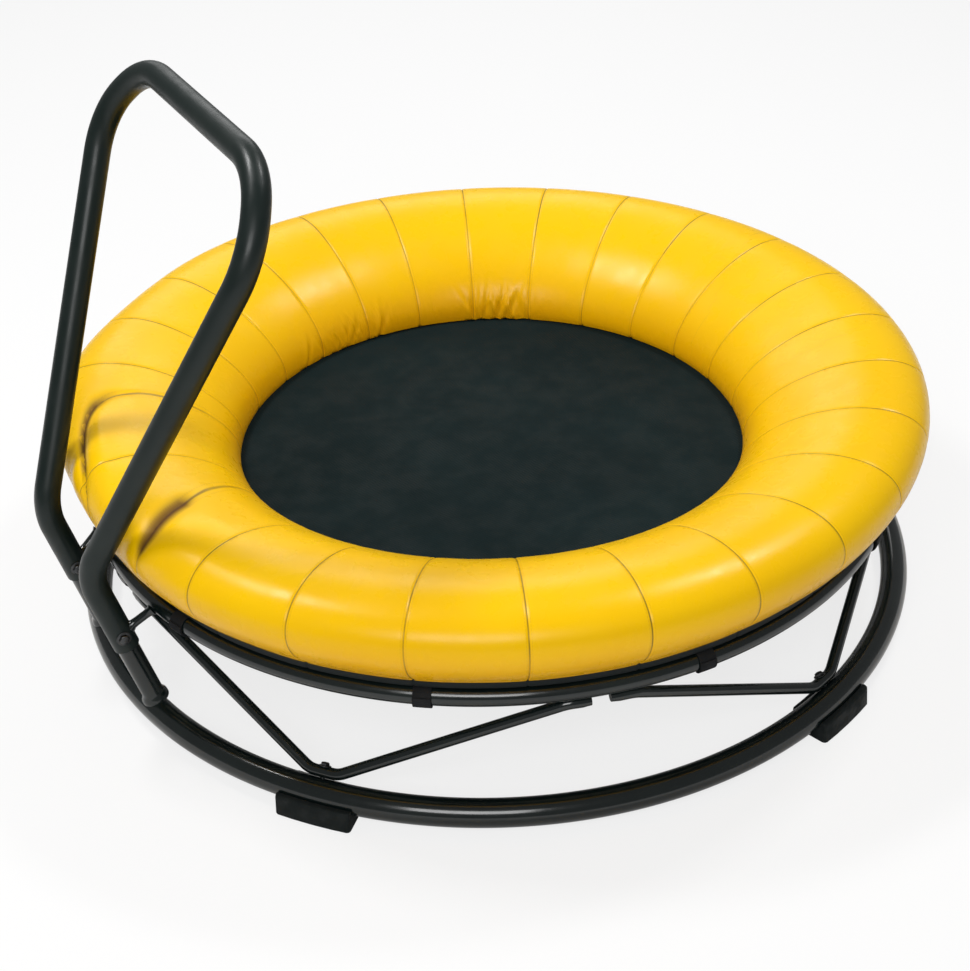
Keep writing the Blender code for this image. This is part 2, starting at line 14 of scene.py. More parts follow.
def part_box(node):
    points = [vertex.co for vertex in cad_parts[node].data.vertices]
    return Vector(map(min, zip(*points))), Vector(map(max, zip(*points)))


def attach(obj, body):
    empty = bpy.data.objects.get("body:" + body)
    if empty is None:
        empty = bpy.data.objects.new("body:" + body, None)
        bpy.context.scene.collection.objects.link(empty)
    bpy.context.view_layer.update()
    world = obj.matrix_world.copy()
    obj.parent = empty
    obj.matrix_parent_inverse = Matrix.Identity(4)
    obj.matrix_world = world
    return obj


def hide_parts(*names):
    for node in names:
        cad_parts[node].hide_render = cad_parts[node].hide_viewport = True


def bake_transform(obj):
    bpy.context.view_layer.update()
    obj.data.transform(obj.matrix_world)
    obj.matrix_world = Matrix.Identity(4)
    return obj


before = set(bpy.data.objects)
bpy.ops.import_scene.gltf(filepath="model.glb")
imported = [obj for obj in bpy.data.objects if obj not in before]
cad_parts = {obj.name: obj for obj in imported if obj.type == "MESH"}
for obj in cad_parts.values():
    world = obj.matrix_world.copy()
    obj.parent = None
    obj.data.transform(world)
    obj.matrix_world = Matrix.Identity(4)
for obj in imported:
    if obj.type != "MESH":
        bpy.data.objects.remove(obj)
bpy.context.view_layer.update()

# Sizes that the CAD has too
BASE_RADIUS, BASE_TUBE, BASE_Z = 0.500, 0.016, 0.0263
FRAME_RADIUS, FRAME_TUBE, FRAME_Z = 0.480, 0.011, 0.1703
FOOT_COUNT, FIRST_FOOT_DEG = 5, 2.7
FOOT_LENGTH, FOOT_HALF_WIDTH, FOOT_SADDLE = 0.085, 0.0258, 0.0163
STRUT_ROD, STRUT_HALF_DEG, STRUT_TAIL, STRUT_FOOT = 0.0065, 30.0, 0.026, 0.034
STRUT_BEND, STRUT_SEAT_DEG = 0.028, 55.0
MAT_RADIUS, MAT_Z, MAT_THICKNESS = 0.385, 0.177, 0.002
BAND_TOP, BAND_BOTTOM, BAND_WIDTH = 0.1757, 0.1737, 0.020
SPRING_COUNT, FIRST_SPRING_DEG, SPRING_COIL, SPRING_Z = 20, 9.0, 0.006, 0.1747
PAD_RADIUS, PAD_Z, PAD_HALF_WIDTH, PAD_HALF_HEIGHT = 0.415, 0.2213, 0.115, 0.060
PAD_TILT = math.radians(23.5)
PANEL_COUNT, FIRST_SEAM_DEG = 26, 10.1
LIP_Z, LIP_RADIUS, REST_Z, HEM_DEG = 0.1785, 0.3395, 0.1837, -60.0
STRAP_COUNT, FIRST_STRAP_DEG, STRAP_WIDTH = 10, 16.6, 0.020
HANDLE_TUBE, POST_TUBE, BRACE_ROD = 0.015, 0.0125, 0.005
HANDLE_RADII = (0.070, 0.085, 0.088)
HANDLE_FOOT_HALF, KNEE_HALF, SHOULDER_HALF, CROWN_HALF = 0.0855, 0.074, 0.2115, 0.1535
KNEE_OUT, SHOULDER_IN, CROWN_IN = 0.0405, 0.177, 0.0385
KNEE_RISE, SHOULDER_RISE, CROWN_RISE = 0.1985, 0.395, 0.0645
SLEEVE_START, POST_LAP, BRACE_DEG, BRACE_UP = 0.087, 0.0515, 11.0, 0.105
GAP = 0.0003

# Sizes of the looks alone
TUBE_STEP = 0.012
HEM_RADIUS = 0.4620
COVER_ROWS, COVER_CROWD, LINING_STEP = 118, 1.3, 4
FOAM_COLUMNS, FOAM_ROWS = 208, 40
CLOTH_COLUMNS, CLOTH_ROWS, CLOTH_FRAMES, SWELL_SHARE = 16, 44, 20, 0.30
SEAM_DEPTH, SEAM_WIDTH, PULLED_DEPTH, PULLED_WIDTH = 0.0009, 0.0013, 0.0007, 0.0016
FOLD_DEPTH, FOLD_WIDTH, FOLD_SLOPE, FOLD_REACH = 0.0038, 0.0030, 0.0030, 0.018
BULGE, BULGE_OFF, BULGE_WIDTH = 0.0028, 0.014, 0.010
GATHER_COUNT, GATHER_DEPTH, GATHER_REACH = 22, 0.0014, 0.020
REPLACED_SEAMS = (190.1, 162.4)
LEG_PRESS, COVER_CLEAR, LINING_CLEAR, FOAM_CLEAR = 0.0050, 0.0050, 0.0074, 0.0090
LINING_IN, FOAM_IN, FOAM_DENT = 0.0026, 0.0036, 0.0068
TINY, THINNEST = 1e-12, 1e-5
STITCH_OFF, STITCH_LENGTH = 0.0030, 0.0042

MIDDLE = sum(corner.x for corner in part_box("base_ring")) / 2


# Meshes


def quads(rows, columns, close_rows, close_columns):
    """Faces of a grid of points numbered row by row."""
    r = np.arange(rows if close_rows else rows - 1)
    c = np.arange(columns if close_columns else columns - 1)
    r, c = np.meshgrid(r, c, indexing="ij")
    below = (r + 1) % rows
    beside = (c + 1) % columns
    faces = np.stack(
        [r * columns + c, below * columns + c, below * columns + beside, r * columns + beside], -1
    )
    return faces.reshape(-1, 4)


def added(name, data):
    """A new object in the scene."""
    piece = bpy.data.objects.new(name, data)
    bpy.context.scene.collection.objects.link(piece)
    return piece


def make_object(name, points, faces, material, sharp_deg=40):
    """A smooth object from points and faces, sharp where they turn by more than sharp_deg."""
    mesh = bpy.data.meshes.new(name)
    mesh.from_pydata([tuple(p) for p in np.asarray(points, float)], [], [tuple(f) for f in faces])
    mesh.validate()
    mesh.shade_smooth()
    mesh.set_sharp_from_angle(angle=math.radians(sharp_deg))
    mesh.materials.append(material)
    return added(name, mesh)


def grid_object(name, grid, material, close_rows=False, close_columns=True, caps=False, sharp_deg=40):
    """An object from a grid of points, with a fan at each end where caps is set."""
    rows, columns = grid.shape[:2]
    points = grid.reshape(-1, 3)
    faces = quads(rows, columns, close_rows, close_columns).tolist()
    if caps:
        points = np.vstack([points, grid[0].mean(0), grid[-1].mean(0)])
        first, last = rows * columns, rows * columns + 1
        for c in range(columns):
            beside = (c + 1) % columns
            faces.append((first, c, beside))
            faces.append((last, (rows - 1) * columns + beside, (rows - 1) * columns + c))
    return make_object(name, points, faces, material, sharp_deg)


def frames_along(path):
    """Two cross directions at each point of a path, without twist."""
    tangents = np.gradient(path, axis=0)
    tangents /= np.linalg.norm(tangents, axis=1, keepdims=True)
    side = np.cross(tangents[0], (0.31, 0.17, 0.93))
    side /= np.linalg.norm(side)
    sides = []
    for tangent in tangents:
        side = side - tangent * side.dot(tangent)
        side = side / np.linalg.norm(side)
        sides.append(side)
    return np.array(sides), np.cross(tangents, sides)


def tube_grid(path, radii, sides=32):
    """Rings of points round a path. radii is one number or one for each point."""
    path = np.array(path, float)
    across, up = frames_along(path)
    radii = np.broadcast_to(np.asarray(radii, float), len(path))
    turn = full_turn(sides)
    ring = np.cos(turn)[None, :, None] * across[:, None] + np.sin(turn)[None, :, None] * up[:, None]
    return path[:, None] + ring * radii[:, None, None]


def tube(name, path, radii, material, sides=32):
    """A closed solid tube along a path."""
    return grid_object(name, tube_grid(path, radii, sides), material, caps=True)


def full_turn(steps):
    """Evenly spaced angles round a circle."""
    return np.linspace(0, 2 * math.pi, steps, endpoint=False)


def polar(angles, radius, height, middle=MIDDLE):
    """Points at angles, radii and heights round a middle on the X axis."""
    x, y, z = np.broadcast_arrays(middle + radius * np.cos(angles), radius * np.sin(angles), height)
    return np.stack([x, y, z], -1)


def lofted(angles, profile):
    """Points of a (radius, z) profile at each angle round the middle, as columns by rows."""
    return polar(angles[:, None], profile[:, 0], profile[:, 1])


def lathe(name, profile, placement, material, sides=24, sharp_deg=30):
    """A solid turned from (radius, z) points, both ends on the axis, then placed."""
    profile = np.array(profile)
    grid = polar(full_turn(sides), np.maximum(profile[:, :1], THINNEST), profile[:, 1:2], 0)
    matrix = np.array(placement)
    grid = grid @ matrix[:3, :3].T + matrix[:3, 3]
    return grid_object(name, grid, material, caps=True, sharp_deg=sharp_deg)


def joined(name, pieces):
    """One object from several of the same material."""
    points, faces = [], []
    material = pieces[0].data.materials[0]
    for piece in pieces:
        base = len(points)
        points += [tuple(v.co) for v in piece.data.vertices]
        faces += [tuple(base + i for i in p.vertices) for p in piece.data.polygons]
        bpy.data.objects.remove(piece)
    return make_object(name, points, faces, material)


def around(degrees, radius, height):
    """The point at an angle and a radius round the rings' middle."""
    angle = math.radians(degrees)
    return Vector((MIDDLE + radius * math.cos(angle), radius * math.sin(angle), height))


def bent_path(corners, radii, turns=14):
    """The points of a path through corners, with an arc of the given radius at each inner one."""
    corners = [Vector(corner) for corner in corners]
    points = [corners[0]]
    for before, corner, after, radius in zip(corners, corners[1:], corners[2:], radii):
        back = (before - corner).normalized()
        ahead = (after - corner).normalized()
        half = back.angle(ahead) / 2
        middle = corner + (back + ahead).normalized() * (radius / math.sin(half))
        start = corner + back * (radius / math.tan(half)) - middle
        end = corner + ahead * (radius / math.tan(half)) - middle
        for step in range(turns + 1):
            points.append(middle + start.slerp(end, step / turns) * radius)
    points.append(corners[-1])
    return points


def evened(path):
    """The same path with points no further apart than TUBE_STEP."""
    made = [Vector(path[0])]
    for point in path[1:]:
        start = made[-1]
        run = Vector(point) - start
        count = max(1, math.ceil(run.length / TUBE_STEP))
        for step in range(1, count + 1):
            made.append(start + run * step / count)
    return made


# Materials


class Nodes:
    """Short calls for building one material's node tree."""

    def __init__(self, title, colour, roughness, metallic=0.0):
        self.material = bpy.data.materials.new(title)
        self.material.use_nodes = True
        self.tree = self.material.node_tree
        self.shader = self.tree.nodes["Principled BSDF"]
        self.set("Base Color", colour)
        self.set("Roughness", roughness)
        self.set("Metallic", metallic)
        self.place = self.add("TexCoord").outputs["Object"]

    def add(self, kind, values=(), **settings):
        """A node with its settings, and with its inputs as (name, value) pairs."""
        node = self.tree.nodes.new("ShaderNode" + kind)
        for key, value in settings.items():
            setattr(node, key, value)
        for name, value in values:
            self.fill(node, name, value)
        return node

    def link(self, source, target):
        self.tree.links.new(source, target)

    def fill(self, node, name, value):
        """An input gets a number or a colour, or a link where the value is a node's output."""
        if hasattr(value, "node"):
            self.link(value, node.inputs[name])
        else:
            node.inputs[name].default_value = (*value, 1) if isinstance(value, tuple) else value

    def set(self, name, value):
        self.fill(self.shader, name, value)

    def noise(self, scale, detail=3.0, roughness=0.5):
        values = [("Vector", self.place), ("Scale", scale), ("Detail", detail), ("Roughness", roughness)]
        return self.add("TexNoise", values).outputs["Fac"]

    def cells(self, scale):
        return self.add("TexVoronoi", [("Vector", self.place), ("Scale", scale)]).outputs["Distance"]

    def wave(self, scale, axis, distortion):
        values = [("Vector", self.place), ("Scale", scale), ("Distortion", distortion)]
        return self.add("TexWave", values, bands_direction=axis).outputs["Fac"]

    def math(self, operation, first, second=0.0):
        return self.add("Math", [(0, first), (1, second)], operation=operation).outputs[0]

    def times(self, first, second):
        return self.math("MULTIPLY", first, second)

    def plus(self, first, second):
        return self.math("ADD", first, second)

    def minus(self, first, second):
        return self.math("SUBTRACT", first, second)

    def span(self, value, low, high, to_low=0.0, to_high=1.0):
        """A value taken smoothly from one range to another."""
        values = [("Value", value), ("From Min", low), ("From Max", high)]
        values += [("To Min", to_low), ("To Max", to_high)]
        return self.add("MapRange", values, interpolation_type="SMOOTHSTEP").outputs["Result"]

    def mix(self, share, first, second):
        """A mix of two colours. A Mix node's colour inputs are 6 and 7, and its colour output is 2."""
        return self.add("Mix", [(0, share), (6, first), (7, second)], data_type="RGBA").outputs[2]

    def rough(self, noise, low, high):
        self.set("Roughness", self.span(noise, 0.3, 0.7, low, high))

    def axis(self, name):
        return self.add("SeparateXYZ", [(0, self.place)]).outputs[name]

    def attribute(self, name):
        return self.add("Attribute", attribute_name=name).outputs["Fac"]

    def bump(self, height, distance, strength=1.0, normal=None):
        values = [("Strength", strength), ("Distance", distance), ("Height", height)]
        if normal is not None:
            values.append(("Normal", normal))
        return self.add("Bump", values).outputs["Normal"]


def enamel(title, colour, worn, low, high, coat):
    """Sprayed enamel on steel: faint orange peel, dust in patches and uneven gloss."""
    n = Nodes(title, colour, high)
    patches = n.noise(9.0, 5.0, 0.6)
    n.set("Base Color", n.mix(n.span(patches, 0.45, 0.75), colour, worn))
    n.rough(n.noise(28.0, 4.0, 0.6), low, high)
    n.set("Specular IOR Level", 0.30)
    n.set("Coat Weight", coat)
    n.set("Coat Roughness", 0.14)
    peel = n.bump(n.noise(420.0, 2.0), 0.00010, 0.20)
    n.set("Normal", n.bump(n.noise(70.0, 3.0), 0.0004, 0.08, peel))
    return n.material


def vinyl():
    """Yellow coated fabric with a fine grain and stitch rows beside its seams, with shade painted in its
    seams and folds and on its shaded slopes.
    """
    yellow, deep, shade = (0.930, 0.555, 0.0008), (0.850, 0.390, 0.002), (0.085, 0.050, 0.012)
    n = Nodes("vinyl_cover", yellow, 0.40)
    seam, along = n.attribute("seam_gap"), n.attribute("along")
    for name in ("pulled_right", "pulled_left"):
        seam = n.math("MINIMUM", seam, n.math("ABSOLUTE", n.attribute(name)))
    turned = n.attribute("section_deg")
    # Painted shade: the inner slope and the lower outer side turn a deeper orange, as they lie in shade;
    # the blotches are a real uneven tone
    low = n.math("MAXIMUM", n.span(turned, 112, 168), n.span(turned, 10, -55))
    blotch = n.span(n.noise(5.0, 4.0, 0.55), 0.35, 0.75)
    blotch_and_shade = n.plus(n.times(blotch, 0.22), n.times(low, 0.55))
    colour = n.mix(blotch_and_shade, yellow, deep)
    groove = n.span(seam, 0.0003, 0.0012, 1.0, 0.0)
    row = n.math("ABSOLUTE", n.minus(seam, STITCH_OFF))
    thread = n.span(row, 0.0002, 0.0006, 1.0, 0.0)
    dash = n.math("FRACT", n.times(along, 1 / STITCH_LENGTH))
    dash = n.span(n.math("ABSOLUTE", n.minus(dash, 0.5)), 0.30, 0.42, 1.0, 0.0)
    stitch = n.times(thread, dash)
    # Painted shade in the seam grooves: darker on the outer side than on the inner side, and uneven in
    # patches
    patchy = n.span(n.noise(14.0), 0.3, 0.6, 0.6, 1.0)
    seam_shade = n.times(n.span(turned, 75, 130, 0.78, 0.36), patchy)
    colour = n.mix(n.times(groove, seam_shade), colour, shade)
    colour = n.mix(n.times(stitch, 0.30), colour, (0.62, 0.32, 0.01))
    # Painted shade in the two deep folds beside the handle's legs
    dark = n.span(n.attribute("fold_shade"), 0.10, 1.0, 0.0, 0.90)
    colour = n.mix(dark, colour, (0.075, 0.024, 0.010))
    hem = n.span(turned, HEM_DEG - 0.5, HEM_DEG - 2.0)
    n.set("Base Color", n.mix(hem, colour, (0.006, 0.009, 0.009)))
    dull = n.math("MAXIMUM", n.times(hem, 0.3), n.times(dark, 0.5))
    n.set("Roughness", n.plus(n.span(n.noise(40.0, 3.0), 0.3, 0.7, 0.25, 0.33), dull))
    n.set("Specular IOR Level", 0.19)
    n.set("Coat Weight", 0.02)
    n.set("Coat Roughness", 0.22)
    across = n.math("ARCTAN2", n.axis("Y"), n.minus(n.axis("X"), MIDDLE))
    turns, rows = n.times(across, 24.0), n.times(along, 20.0)
    spot = n.add("CombineXYZ", [("X", turns), ("Y", rows)]).outputs[0]
    values = [("Vector", spot), ("Scale", 1.3), ("Detail", 1.5), ("Distortion", 0.8)]
    pleats = n.span(n.add("TexNoise", values).outputs["Fac"], 0.35, 0.65)
    gather = n.times(pleats, n.attribute("gather"))
    grain = n.bump(n.cells(820.0), 0.00016, 0.35)
    fold = n.bump(n.noise(30.0, 3.0, 0.6), 0.0007, 0.25, grain)
    fold = n.bump(gather, 0.0016, 1.0, fold)
    sewing = n.minus(n.times(stitch, 0.6), thread)
    n.set("Normal", n.bump(sewing, 0.0003, 0.4, fold))
    return n.material


def woven():
    """Dark woven mat: flat yarns both ways, faded in patches."""
    dark, pale = (0.0022, 0.0088, 0.0100), (0.0058, 0.0160, 0.0178)
    n = Nodes("woven_mat", dark, 0.72)
    warp = n.wave(95.0, "X", 0.15)
    weft = n.wave(95.0, "Y", 0.15)
    cross = n.times(warp, weft)
    fade = n.span(n.noise(5.0, 6.0, 0.65), 0.35, 0.75)
    shade = n.plus(n.times(fade, 0.6), n.times(cross, 0.4))
    n.set("Base Color", n.mix(shade, dark, pale))
    n.rough(n.noise(30.0, 4.0), 0.66, 0.85)
    n.set("Specular IOR Level", 0.12)
    yarn = n.bump(n.plus(warp, weft), 0.0003, 0.5)
    n.set("Normal", n.bump(n.noise(12.0, 4.0, 0.6), 0.0025, 0.35, yarn))
    return n.material


def webbing(title, colour, pale):
    """Ribbed polypropylene webbing."""
    n = Nodes(title, colour, 0.78)
    ribs = n.wave(260.0, "DIAGONAL", 0.4)
    shade = n.times(n.noise(120.0, 3.0), ribs)
    n.set("Base Color", n.mix(shade, colour, pale))
    n.rough(n.noise(60.0, 3.0), 0.7, 0.9)
    n.set("Specular IOR Level", 0.25)
    n.set("Normal", n.bump(ribs, 0.0003, 0.6))
    return n.material


def rubber():
    """Moulded black rubber, dusty in places."""
    dark, dust = (0.0040, 0.0070, 0.0070), (0.014, 0.017, 0.017)
    n = Nodes("moulded_rubber", dark, 0.7)
    n.set("Base Color", n.mix(n.span(n.noise(24.0, 5.0, 0.65), 0.5, 0.85), dark, dust))
    n.rough(n.noise(70.0, 3.0), 0.6, 0.85)
    n.set("Specular IOR Level", 0.25)
    n.set("Normal", n.bump(n.noise(500.0, 2.0), 0.0002, 0.5))
    return n.material


def foam():
    """Cream open-cell foam."""
    pale, pore = (0.72, 0.66, 0.47), (0.42, 0.36, 0.22)
    n = Nodes("open_foam", pale, 0.95)
    cells = n.cells(650.0)
    n.set("Base Color", n.mix(n.span(cells, 0.25, 0.75), pale, pore))
    n.rough(n.noise(60.0), 0.88, 1.0)
    n.set("Specular IOR Level", 0.2)
    n.set("Normal", n.bump(cells, 0.0008, 0.8))
    return n.material


def plated(title, colour, low, high):
    """Zinc plating: mottled, with fine drawing lines."""
    n = Nodes(title, colour, high, 1.0)
    mottle = n.span(n.noise(260.0, 4.0, 0.6), 0.35, 0.7)
    n.set("Base Color", n.mix(mottle, colour, tuple(0.72 * c for c in colour)))
    n.rough(n.noise(180.0, 3.0), low, high)
    n.set("Normal", n.bump(n.noise(900.0, 2.0), 0.0001, 0.4))
    return n.material


BLACK = (0.0035, 0.0070, 0.0068)
FRAME_PAINT = enamel("enamel_gloss", BLACK, (0.007, 0.012, 0.011), 0.14, 0.24, 0.60)
HANDLE_PAINT = enamel("enamel_satin", (0.0045, 0.0105, 0.0092), (0.009, 0.015, 0.013), 0.34, 0.46, 0.06)
VINYL = vinyl()
MAT = woven()
BAND = webbing("band_webbing_look", (0.010, 0.011, 0.011), (0.045, 0.047, 0.046))
STRAP = webbing("strap_webbing_look", (0.004, 0.005, 0.006), (0.014, 0.015, 0.016))
RUBBER = rubber()
FOAM = foam()
ZINC = plated("zinc_wire", (0.62, 0.63, 0.64), 0.24, 0.42)
BOLT = plated("black_zinc", (0.085, 0.088, 0.090), 0.28, 0.45)


# Rings and feet


def placed(piece, node, body="frame"):
    """The piece stands for a node, whose CAD part is hidden, and rides on its body."""
    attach(piece, body)
    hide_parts(node)


def make_rings():
    """The two steel rings."""
    rings = (
        ("base_ring", BASE_RADIUS, BASE_Z, BASE_TUBE, 40),
        ("frame_ring", FRAME_RADIUS, FRAME_Z, FRAME_TUBE, 32),
    )
    for node, radius, height, tube_radius, sides in rings:
        turn = full_turn(sides)
        outline = [radius + tube_radius * np.cos(turn), height + tube_radius * np.sin(turn)]
        grid = lofted(full_turn(360), np.stack(outline, -1))
        placed(grid_object(node + "_tube", grid, FRAME_PAINT, True), node)


def foot_outline(narrow):
    """A foot's section: down its inner side, up its outer side and back round its saddle."""
    half = FOOT_HALF_WIDTH - narrow
    top_half = half - 0.0016
    top_edge, low_edge = 0.0028, 0.003
    points = [(-FOOT_SADDLE, BASE_Z - 0.001), (-FOOT_SADDLE - 0.001, BASE_Z - 0.0002)]
    corners = (
        (-top_half, BASE_Z, top_edge, 90), (-half, 0.0, low_edge, 180),
        (half, 0.0, low_edge, 270), (top_half, BASE_Z, top_edge, 0),
    )
    for x, z, radius, start in corners:
        centre = (x - math.copysign(radius, x), z + radius if z == 0 else z - radius)
        for step in range(5):
            turn = math.radians(start + 22.5 * step)
            points.append((centre[0] + radius * math.cos(turn), centre[1] + radius * math.sin(turn)))
    points += [(FOOT_SADDLE + 0.001, BASE_Z - 0.0002), (FOOT_SADDLE, BASE_Z - 0.001)]
    for step in range(17):
        turn = math.radians(-3 - 174 * step / 16)
        points.append((FOOT_SADDLE * math.cos(turn), BASE_Z + FOOT_SADDLE * math.sin(turn)))
    return points


def make_feet():
    """Rubber blocks that narrow at the top and have rounded ends."""
    half = FOOT_LENGTH / 2
    stations = [(-half, 0.0030), (-half + 0.0008, 0.0012), (-half + 0.003, 0.0), (-half + 0.02, 0.0)]
    stations += [(0.0, 0.0)] + [(-along, narrow) for along, narrow in stations[::-1]]
    for number in range(FOOT_COUNT):
        degrees = FIRST_FOOT_DEG + number * 360 / FOOT_COUNT
        grid = []
        for along, narrow in stations:
            outline = np.array(foot_outline(narrow))
            angle = math.radians(degrees) + along / BASE_RADIUS
            grid.append(polar(angle, BASE_RADIUS + outline[:, 0], outline[:, 1]))
        rows, columns = len(grid), len(grid[0])
        last = (rows - 1) * columns
        faces = quads(rows, columns, False, True).tolist()
        faces += [tuple(range(columns))[::-1], tuple(range(last, last + columns))]
        name = f"foot_{number + 1}"
        foot = make_object(name + "_rubber", np.array(grid).reshape(-1, 3), faces, RUBBER, 30)
        placed(foot, name)


# Struts and bolts


def strut_seat(degrees):
    """The middle of a strut's foot and the direction from the base ring's tube to it."""
    lean = math.radians(STRUT_SEAT_DEG)
    centre = around(degrees, BASE_RADIUS, BASE_Z)
    direction = around(degrees, BASE_RADIUS - math.cos(lean), BASE_Z + math.sin(lean)) - centre
    return centre + direction * (BASE_TUBE + GAP + STRUT_ROD), direction


def strut_corners(degrees):
    """Corners of a V strut: tail and lap under the frame ring, its foot, and the same back up."""
    top_z = FRAME_Z - FRAME_TUBE - STRUT_ROD - GAP
    seat, _ = strut_seat(degrees)
    seat_radius = math.hypot(seat.x - MIDDLE, seat.y)
    foot = math.degrees(STRUT_FOOT / 2 / seat_radius)
    lap = STRUT_HALF_DEG + math.degrees(STRUT_BEND / 2 / FRAME_RADIUS)
    tail = lap + math.degrees(STRUT_TAIL / FRAME_RADIUS)
    half = [(tail, FRAME_RADIUS, top_z), (lap, FRAME_RADIUS, top_z), (foot, seat_radius, seat.z)]
    down = [around(degrees - turn, radius, height) for turn, radius, height in half]
    return down + [around(degrees + turn, radius, height) for turn, radius, height in half[::-1]]


def hex_bolt(name, seat, direction, head, height, under, tip, shank):
    """A hexagon-head bolt on a thin washer, its head crowned."""
    placement = Matrix.Translation(seat) @ direction.to_track_quat("Z", "Y").to_matrix().to_4x4()
    rim, top, low = head * 1.42, under + height, under + 0.0010
    washer = [(0, under + 0.0009), (head * 1.35, under + 0.0009), (rim, under + 0.0006)]
    washer += [(rim, under + 0.0001), (0, under + 0.0001)]
    crown = [(0, top), (head * 0.80, top), (head * 0.97, top - 0.0006), (head, top - 0.0010)]
    crown += [(head, low), (0, low)]
    stem = [(0, under + 0.0012), (shank, under + 0.0012), (shank, tip + 0.001)]
    stem += [(shank * 0.7, tip), (0, tip)]
    turned = ((washer, 32, 30), (crown, 6, 20), (stem, 20, 30))
    return joined(name, [lathe("turned", profile, placement, BOLT, *look) for profile, *look in turned])


def make_struts():
    """The bent rods between the two rings, each with a bolt through its foot."""
    for number in range(FOOT_COUNT):
        degrees = FIRST_FOOT_DEG + number * 360 / FOOT_COUNT
        path = evened(bent_path(strut_corners(degrees), [STRUT_BEND] * 4, 10))
        radii = np.full(len(path), STRUT_ROD)
        radii[0] = radii[-1] = STRUT_ROD * 0.82
        strut = tube(f"v_strut_{number + 1}_rod", path, radii, FRAME_PAINT, 24)
        placed(strut, f"v_strut_{number + 1}")
        seat, direction = strut_seat(degrees)
        bolt = hex_bolt(
            f"strut_bolt_{number + 1}_hex", seat, direction, 0.005, 0.0042, STRUT_ROD - 0.0002,
            -(STRUT_ROD + 0.008), 0.0025,
        )
        placed(bolt, f"strut_bolt_{number + 1}")


# The handle


def handle_corners():
    """The handle's corners from the right foot over the crown to the left foot, in place."""
    foot_out = math.sqrt(BASE_RADIUS**2 - HANDLE_FOOT_HALF**2) - 0.003
    knee_out = BASE_RADIUS + KNEE_OUT
    shoulder_out = knee_out - SHOULDER_IN
    knee_z = BASE_Z + KNEE_RISE
    shoulder_z = knee_z + SHOULDER_RISE
    right = [
        (foot_out, HANDLE_FOOT_HALF, BASE_Z + 0.0115),
        (knee_out, KNEE_HALF, knee_z),
        (shoulder_out, SHOULDER_HALF, shoulder_z),
        (shoulder_out - CROWN_IN, CROWN_HALF, shoulder_z + CROWN_RISE),
    ]
    left = [(out, -half, height) for out, half, height in reversed(right)]
    return [Vector((MIDDLE - out, -half, height)) for out, half, height in right + left]


CORNERS = handle_corners()


def sleeve(end, knee):
    """A leg's foot, its direction and the place where the handle's tube ends on its post."""
    run = (CORNERS[knee] - CORNERS[end]).normalized()
    return CORNERS[end], run, CORNERS[end] + run * SLEEVE_START


SLEEVES = {"right": sleeve(0, 1), "left": sleeve(-1, -2)}
HANDLE_PATH = bent_path(CORNERS, HANDLE_RADII + HANDLE_RADII[::-1])
HANDLE_PATH[0] = SLEEVES["right"][2]
HANDLE_PATH[-1] = SLEEVES["left"][2]


def leg_mouth(end, inward):
    """(place, radius) of the rings at a leg's open end: up the bore round its post, then the rim."""
    inward = inward.normalized()
    bore = POST_TUBE + GAP
    rings = ((0.052, THINNEST), (0.0519, bore), (0.0006, bore), (0.0, POST_TUBE + 0.0007), (0.0, 0.0142))
    rings += ((0.0008, HANDLE_TUBE),)
    return [(end + inward * depth, radius) for depth, radius in rings]


def make_handle():
    """One bent tube, open at both ends, with the fittings of its two legs."""
    path = evened(HANDLE_PATH)
    body = [p for p in path if min((p - path[0]).length, (p - path[-1]).length) > 0.002]
    across, up = frames_along(np.array(body, float))
    turn = full_turn(40)

    def mouth_grid(mouth, index):
        ring = np.cos(turn)[:, None] * across[index] + np.sin(turn)[:, None] * up[index]
        return np.array([np.array(place)[None] + ring * radius for place, radius in mouth])

    first = mouth_grid(leg_mouth(path[0], path[1] - path[0]), 0)
    last = mouth_grid(leg_mouth(path[-1], path[-2] - path[-1])[::-1], -1)
    grid = np.concatenate([first, tube_grid(body, HANDLE_TUBE, 40), last])
    handle = grid_object("grab_handle_tube", grid, HANDLE_PAINT, caps=True)
    placed(handle, "grab_handle")
    for side, turn_deg in (("right", BRACE_DEG), ("left", -BRACE_DEG)):
        make_leg_fittings(side, turn_deg)


def make_leg_fittings(side, turn_deg):
    """A leg's post on the base ring, the bolt through both and the brace to the frame ring."""
    foot, run, end = SLEEVES[side]
    stations = [foot + run * rise for rise in (0.003, 0.0075, 0.0105, 0.014)]
    stations += [end, end + run * POST_LAP]
    bead = [POST_TUBE + weld for weld in (0.0035, 0.0032, 0.0014, 0.0, 0.0, 0.0)]
    post = tube(f"handle_post_{side}_tube", stations, bead, FRAME_PAINT, 40)
    placed(post, f"handle_post_{side}")

    centre = end + run * 0.020
    across_leg = Vector((0, 1, 0))
    across_leg = (across_leg - run * across_leg.dot(run)).normalized()
    head = hex_bolt("first", centre, across_leg, 0.006, 0.0048, HANDLE_TUBE, -HANDLE_TUBE, 0.003)
    nut = hex_bolt("second", centre, -across_leg, 0.006, 0.0048, HANDLE_TUBE, 0.004, 0.003)
    placed(joined(f"handle_bolt_{side}_hex", [head, nut]), f"handle_bolt_{side}")

    root = around(180 + turn_deg, FRAME_RADIUS, FRAME_Z)
    tip = foot + run * BRACE_UP
    along = (tip - root).normalized()
    start = root + along * (FRAME_TUBE - 0.001)
    finish = tip - along * (HANDLE_TUBE - 0.001)
    steps = [start.lerp(finish, share) for share in (0, 0.05, 0.12, 0.3, 0.7, 0.88, 0.95, 1)]
    bead = [0.0074, 0.0070, 0.0054, BRACE_ROD]
    brace = tube(f"handle_brace_{side}_rod", steps, bead + bead[::-1], FRAME_PAINT, 20)
    placed(brace, f"handle_brace_{side}")


# Mat and springs


